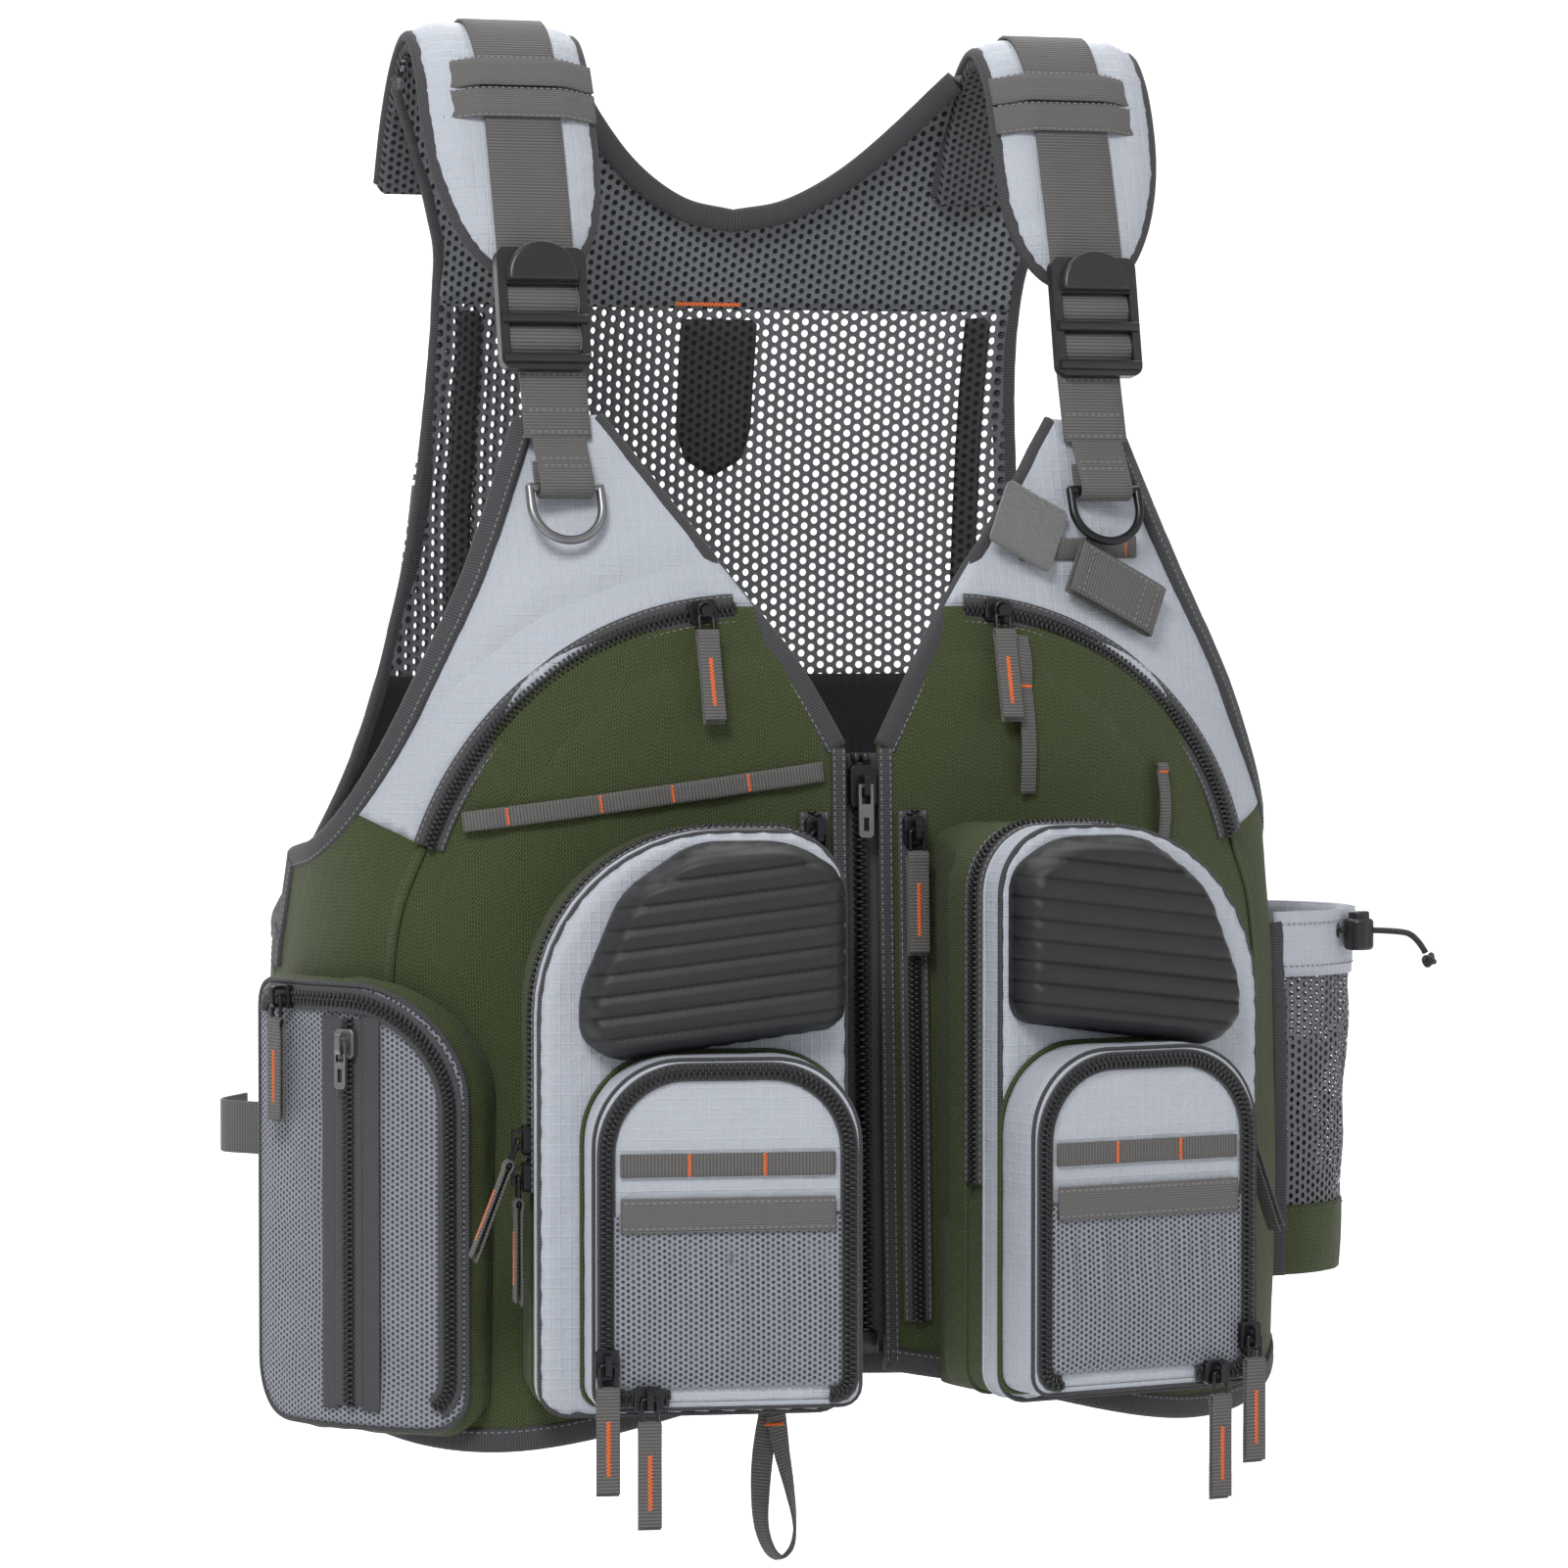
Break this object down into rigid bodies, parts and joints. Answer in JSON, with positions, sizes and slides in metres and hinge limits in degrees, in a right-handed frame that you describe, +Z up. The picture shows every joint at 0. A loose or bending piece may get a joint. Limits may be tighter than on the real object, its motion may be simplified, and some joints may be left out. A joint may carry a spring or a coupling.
{
  "type": "fishing vest",
  "caption": "Fly-fishing vest with padded shoulders, ladder-lock straps, a front zip, zipped cargo pockets with foam shells, mesh sides and a bottle pocket.",
  "frame": {"origin": "midway between the tops of the wearer's shoulders, where the vest's weight hangs", "axes": "+X to the wearer's left, -Y forwards, +Z up"},
  "size_m": [0.5737, 0.3285, 0.6966],
  "materials": {
    "olive_oxford": "matt woven",
    "grey_ripstop": "light grey ripstop",
    "spacer_mesh": "honeycomb spacer mesh",
    "grey_net": "open net",
    "black_lining": "plain weave",
    "grey_webbing": "ribbed webbing",
    "grey_binding": "ribbed grosgrain",
    "black_elastic": "elastic",
    "loop_fastener": "fuzzy loop",
    "pull_webbing": "metal link with a webbing tongue",
    "black_cord": "braided",
    "zip_coil": "nylon coil on woven tape",
    "black_plastic": "moulded acetal",
    "ribbed_foam": "moulded EVA foam",
    "gunmetal": "plated zinc",
    "black_metal": "black enamel",
    "spring_steel": "spring wire"
  },
  "bodies": {
    "root": {"anchor_webbings": "grey_webbing", "back_lining": "black_lining", "back_net": "grey_net", "back_reinforcements": "black_lining", "back_yoke": "spacer_mesh", "bottle_pocket": "grey_net", "cargo_pocket_left": "olive_oxford", "cargo_pocket_right": "olive_oxford", "chest_yokes": "grey_ripstop", "coil_zips": "zip_coil", "drawcord": "black_cord", "drawcord_knot": "black_cord", "edge_binding": "grey_binding", "elastic_bands": "black_elastic", "eva_shells": "ribbed_foam", "front_panel_left": "olive_oxford", "front_panel_right": "olive_oxford", "gear_webbing": "grey_webbing", "girth_straps": "grey_webbing", "main_zip": "zip_coil", "rod_tab_patch": "loop_fastener", "shoulder_pads": "grey_ripstop", "shoulder_webbings": "grey_webbing", "side_pocket": "grey_net", "small_pockets": "grey_ripstop"},
    "main_slider": {"main_slider": "black_metal"},
    "main_puller": {"main_puller": "gunmetal"},
    "chest_slider_left": {"chest_slider_left": "black_metal"},
    "chest_pull_left": {"chest_pull_left": "pull_webbing"},
    "placket_slider_left": {"placket_slider_left": "black_metal"},
    "placket_pull_left": {"placket_pull_left": "pull_webbing"},
    "cargo_slider_left": {"cargo_slider_left": "black_metal"},
    "cargo_pull_left": {"cargo_pull_left": "pull_webbing"},
    "cargo_end_pull_left": {"cargo_end_pull_left": "pull_webbing"},
    "small_slider_left": {"small_slider_left": "black_metal"},
    "small_pull_left": {"small_pull_left": "pull_webbing"},
    "small_end_pull_left": {"small_end_pull_left": "pull_webbing"},
    "d_ring_left": {"d_ring_left": "gunmetal"},
    "ladder_lock_left": {"ladder_lock_left": "black_plastic"},
    "chest_slider_right": {"chest_slider_right": "black_metal"},
    "chest_pull_right": {"chest_pull_right": "pull_webbing"},
    "placket_slider_right": {"placket_slider_right": "black_metal"},
    "placket_pull_right": {"placket_pull_right": "pull_webbing"},
    "cargo_slider_right": {"cargo_slider_right": "black_metal"},
    "cargo_pull_right": {"cargo_pull_right": "pull_webbing"},
    "cargo_end_pull_right": {"cargo_end_pull_right": "pull_webbing"},
    "small_slider_right": {"small_slider_right": "black_metal"},
    "small_pull_right": {"small_pull_right": "pull_webbing"},
    "small_end_pull_right": {"small_end_pull_right": "pull_webbing"},
    "d_ring_right": {"d_ring_right": "black_metal"},
    "ladder_lock_right": {"ladder_lock_right": "black_plastic"},
    "side_slider": {"side_slider": "black_metal"},
    "side_pull": {"side_pull": "pull_webbing"},
    "side_inner_slider": {"side_inner_slider": "gunmetal"},
    "side_inner_puller": {"side_inner_puller": "gunmetal"},
    "rod_tab_flap": {"rod_tab_flap": "grey_webbing"},
    "rod_loop": {"rod_loop": "grey_webbing"},
    "cord_lock": {"cord_lock": "black_plastic", "cord_lock_spring": "spring_steel"},
    "cord_lock_button": {"cord_lock_button": "black_plastic"}
  },
  "joints": [
    {"name": "main_zip_run", "type": "slide", "parent": "root", "child": "main_slider", "axis": [0, -0.0367, -0.9993], "range_m": [0, 0.235]},
    {"name": "main_puller_swing", "type": "hinge", "parent": "main_slider", "child": "main_puller", "pos_m": [0, -0.12027, -0.33672], "axis": [-1, 0, 0], "range_deg": [0, 110]},
    {"name": "chest_zip_run_left", "type": "hinge", "parent": "root", "child": "chest_slider_left", "pos_m": [0.05, -0.07898, -0.406], "axis": [0, 0.9909, 0.1348], "range_deg": [0, 58]},
    {"name": "chest_pull_swivel_left", "type": "hinge", "parent": "chest_slider_left", "child": "chest_pull_left", "pos_m": [0.07121, -0.10667, -0.25745], "axis": [0, 0.9909, 0.1348], "range_deg": [-58, 0]},
    {"name": "placket_zip_run_left", "type": "slide", "parent": "root", "child": "placket_slider_left", "axis": [0, -0.037, -0.9993], "range_m": [0, 0.205]},
    {"name": "placket_pull_swing_left", "type": "hinge", "parent": "placket_slider_left", "child": "placket_pull_left", "pos_m": [0.0235, -0.12365, -0.35676], "axis": [-1, 0, 0], "range_deg": [0, 12]},
    {"name": "cargo_zip_run_left", "type": "slide", "parent": "root", "child": "cargo_slider_left", "axis": [0, 0, 1], "range_m": [0, 0.048]},
    {"name": "cargo_pull_swing_left", "type": "hinge", "parent": "cargo_slider_left", "child": "cargo_pull_left", "pos_m": [0.17163, -0.14774, -0.488], "axis": [0.1736, -0.9848, 0], "range_deg": [0, 85]},
    {"name": "cargo_end_pull_swing_left", "type": "hinge", "parent": "root", "child": "cargo_end_pull_left", "pos_m": [0.17163, -0.14774, -0.504], "axis": [0.1736, -0.9848, 0], "range_deg": [0, 8]},
    {"name": "small_zip_run_left", "type": "slide", "parent": "root", "child": "small_slider_left", "axis": [0, 0, 1], "range_m": [0, 0.08]},
    {"name": "small_pull_swing_left", "type": "hinge", "parent": "small_slider_left", "child": "small_pull_left", "pos_m": [0.15085, -0.21071, -0.58], "axis": [-0.9848, -0.1736, 0], "range_deg": [0, 100]},
    {"name": "small_end_pull_swing_left", "type": "hinge", "parent": "root", "child": "small_end_pull_left", "pos_m": [0.13312, -0.21383, -0.595], "axis": [-0.9848, -0.1736, 0], "range_deg": [0, 100]},
    {"name": "d_ring_swing_left", "type": "hinge", "parent": "root", "child": "d_ring_left", "pos_m": [0.13, -0.08496, -0.203], "axis": [-1, 0, 0], "range_deg": [0, 90]},
    {"name": "ladder_lock_lift_left", "type": "hinge", "parent": "root", "child": "ladder_lock_left", "pos_m": [0.134, -0.06903, -0.14744], "axis": [1, 0, 0], "range_deg": [0, 30]},
    {"name": "chest_zip_run_right", "type": "hinge", "parent": "root", "child": "chest_slider_right", "pos_m": [-0.05, -0.07898, -0.406], "axis": [0, -0.9909, -0.1348], "range_deg": [0, 58]},
    {"name": "chest_pull_swivel_right", "type": "hinge", "parent": "chest_slider_right", "child": "chest_pull_right", "pos_m": [-0.07121, -0.10667, -0.25745], "axis": [0, -0.9909, -0.1348], "range_deg": [-58, 0]},
    {"name": "placket_zip_run_right", "type": "slide", "parent": "root", "child": "placket_slider_right", "axis": [0, -0.037, -0.9993], "range_m": [0, 0.205]},
    {"name": "placket_pull_swing_right", "type": "hinge", "parent": "placket_slider_right", "child": "placket_pull_right", "pos_m": [-0.0235, -0.12365, -0.35676], "axis": [-1, 0, 0], "range_deg": [0, 12]},
    {"name": "cargo_zip_run_right", "type": "slide", "parent": "root", "child": "cargo_slider_right", "axis": [0, 0, 1], "range_m": [0, 0.048]},
    {"name": "cargo_pull_swing_right", "type": "hinge", "parent": "cargo_slider_right", "child": "cargo_pull_right", "pos_m": [-0.17163, -0.14774, -0.488], "axis": [0.1736, 0.9848, 0], "range_deg": [0, 85]},
    {"name": "cargo_end_pull_swing_right", "type": "hinge", "parent": "root", "child": "cargo_end_pull_right", "pos_m": [-0.17163, -0.14774, -0.504], "axis": [0.1736, 0.9848, 0], "range_deg": [0, 8]},
    {"name": "small_zip_run_right", "type": "slide", "parent": "root", "child": "small_slider_right", "axis": [0, 0, 1], "range_m": [0, 0.08]},
    {"name": "small_pull_swing_right", "type": "hinge", "parent": "small_slider_right", "child": "small_pull_right", "pos_m": [-0.15085, -0.21071, -0.58], "axis": [-0.9848, 0.1736, 0], "range_deg": [0, 100]},
    {"name": "small_end_pull_swing_right", "type": "hinge", "parent": "root", "child": "small_end_pull_right", "pos_m": [-0.13312, -0.21383, -0.595], "axis": [-0.9848, 0.1736, 0], "range_deg": [0, 100]},
    {"name": "d_ring_swing_right", "type": "hinge", "parent": "root", "child": "d_ring_right", "pos_m": [-0.13, -0.08496, -0.203], "axis": [-1, 0, 0], "range_deg": [0, 90]},
    {"name": "ladder_lock_lift_right", "type": "hinge", "parent": "root", "child": "ladder_lock_right", "pos_m": [-0.134, -0.06903, -0.14744], "axis": [1, 0, 0], "range_deg": [0, 30]},
    {"name": "side_zip_run", "type": "hinge", "parent": "root", "child": "side_slider", "pos_m": [-0.133, -0.006, -0.423], "axis": [0, 0, 1], "range_deg": [0, 13]},
    {"name": "side_pull_swing", "type": "hinge", "parent": "side_slider", "child": "side_pull", "pos_m": [-0.25346, -0.04748, -0.43], "axis": [-0.3256, 0.9455, 0], "range_deg": [0, 100]},
    {"name": "side_inner_zip_run", "type": "slide", "parent": "root", "child": "side_inner_slider", "axis": [0, 0, -1], "range_m": [0, 0.152]},
    {"name": "side_inner_puller_swing", "type": "hinge", "parent": "side_inner_slider", "child": "side_inner_puller", "pos_m": [-0.2341, -0.08499, -0.449], "axis": [-0.6157, 0.788, 0], "range_deg": [0, 100]},
    {"name": "rod_tab_flap_lift", "type": "hinge", "parent": "root", "child": "rod_tab_flap", "pos_m": [0.11, -0.09673, -0.238], "axis": [-0.4176, -0.3042, -0.8562], "range_deg": [0, 120]},
    {"name": "rod_loop_swing", "type": "hinge", "parent": "root", "child": "rod_loop", "pos_m": [-0.048, -0.12941, -0.616], "axis": [-1, 0, 0], "range_deg": [0, 90]},
    {"name": "cord_lock_run", "type": "slide", "parent": "root", "child": "cord_lock", "axis": [0.951, -0.3091, 0], "range_m": [0, 0.008]},
    {"name": "cord_lock_press", "type": "slide", "parent": "cord_lock", "child": "cord_lock_button", "axis": [0, 0, -1], "range_m": [0, 0.002], "stiffness_N_per_m": 120, "springref_m": -0.001, "deforming": ["cord_lock_spring"]}
  ],
  "couplings": [
    {"joint": "chest_pull_swivel_left", "follows": "chest_zip_run_left", "ratio": -1},
    {"joint": "chest_pull_swivel_right", "follows": "chest_zip_run_right", "ratio": -1}
  ]
}
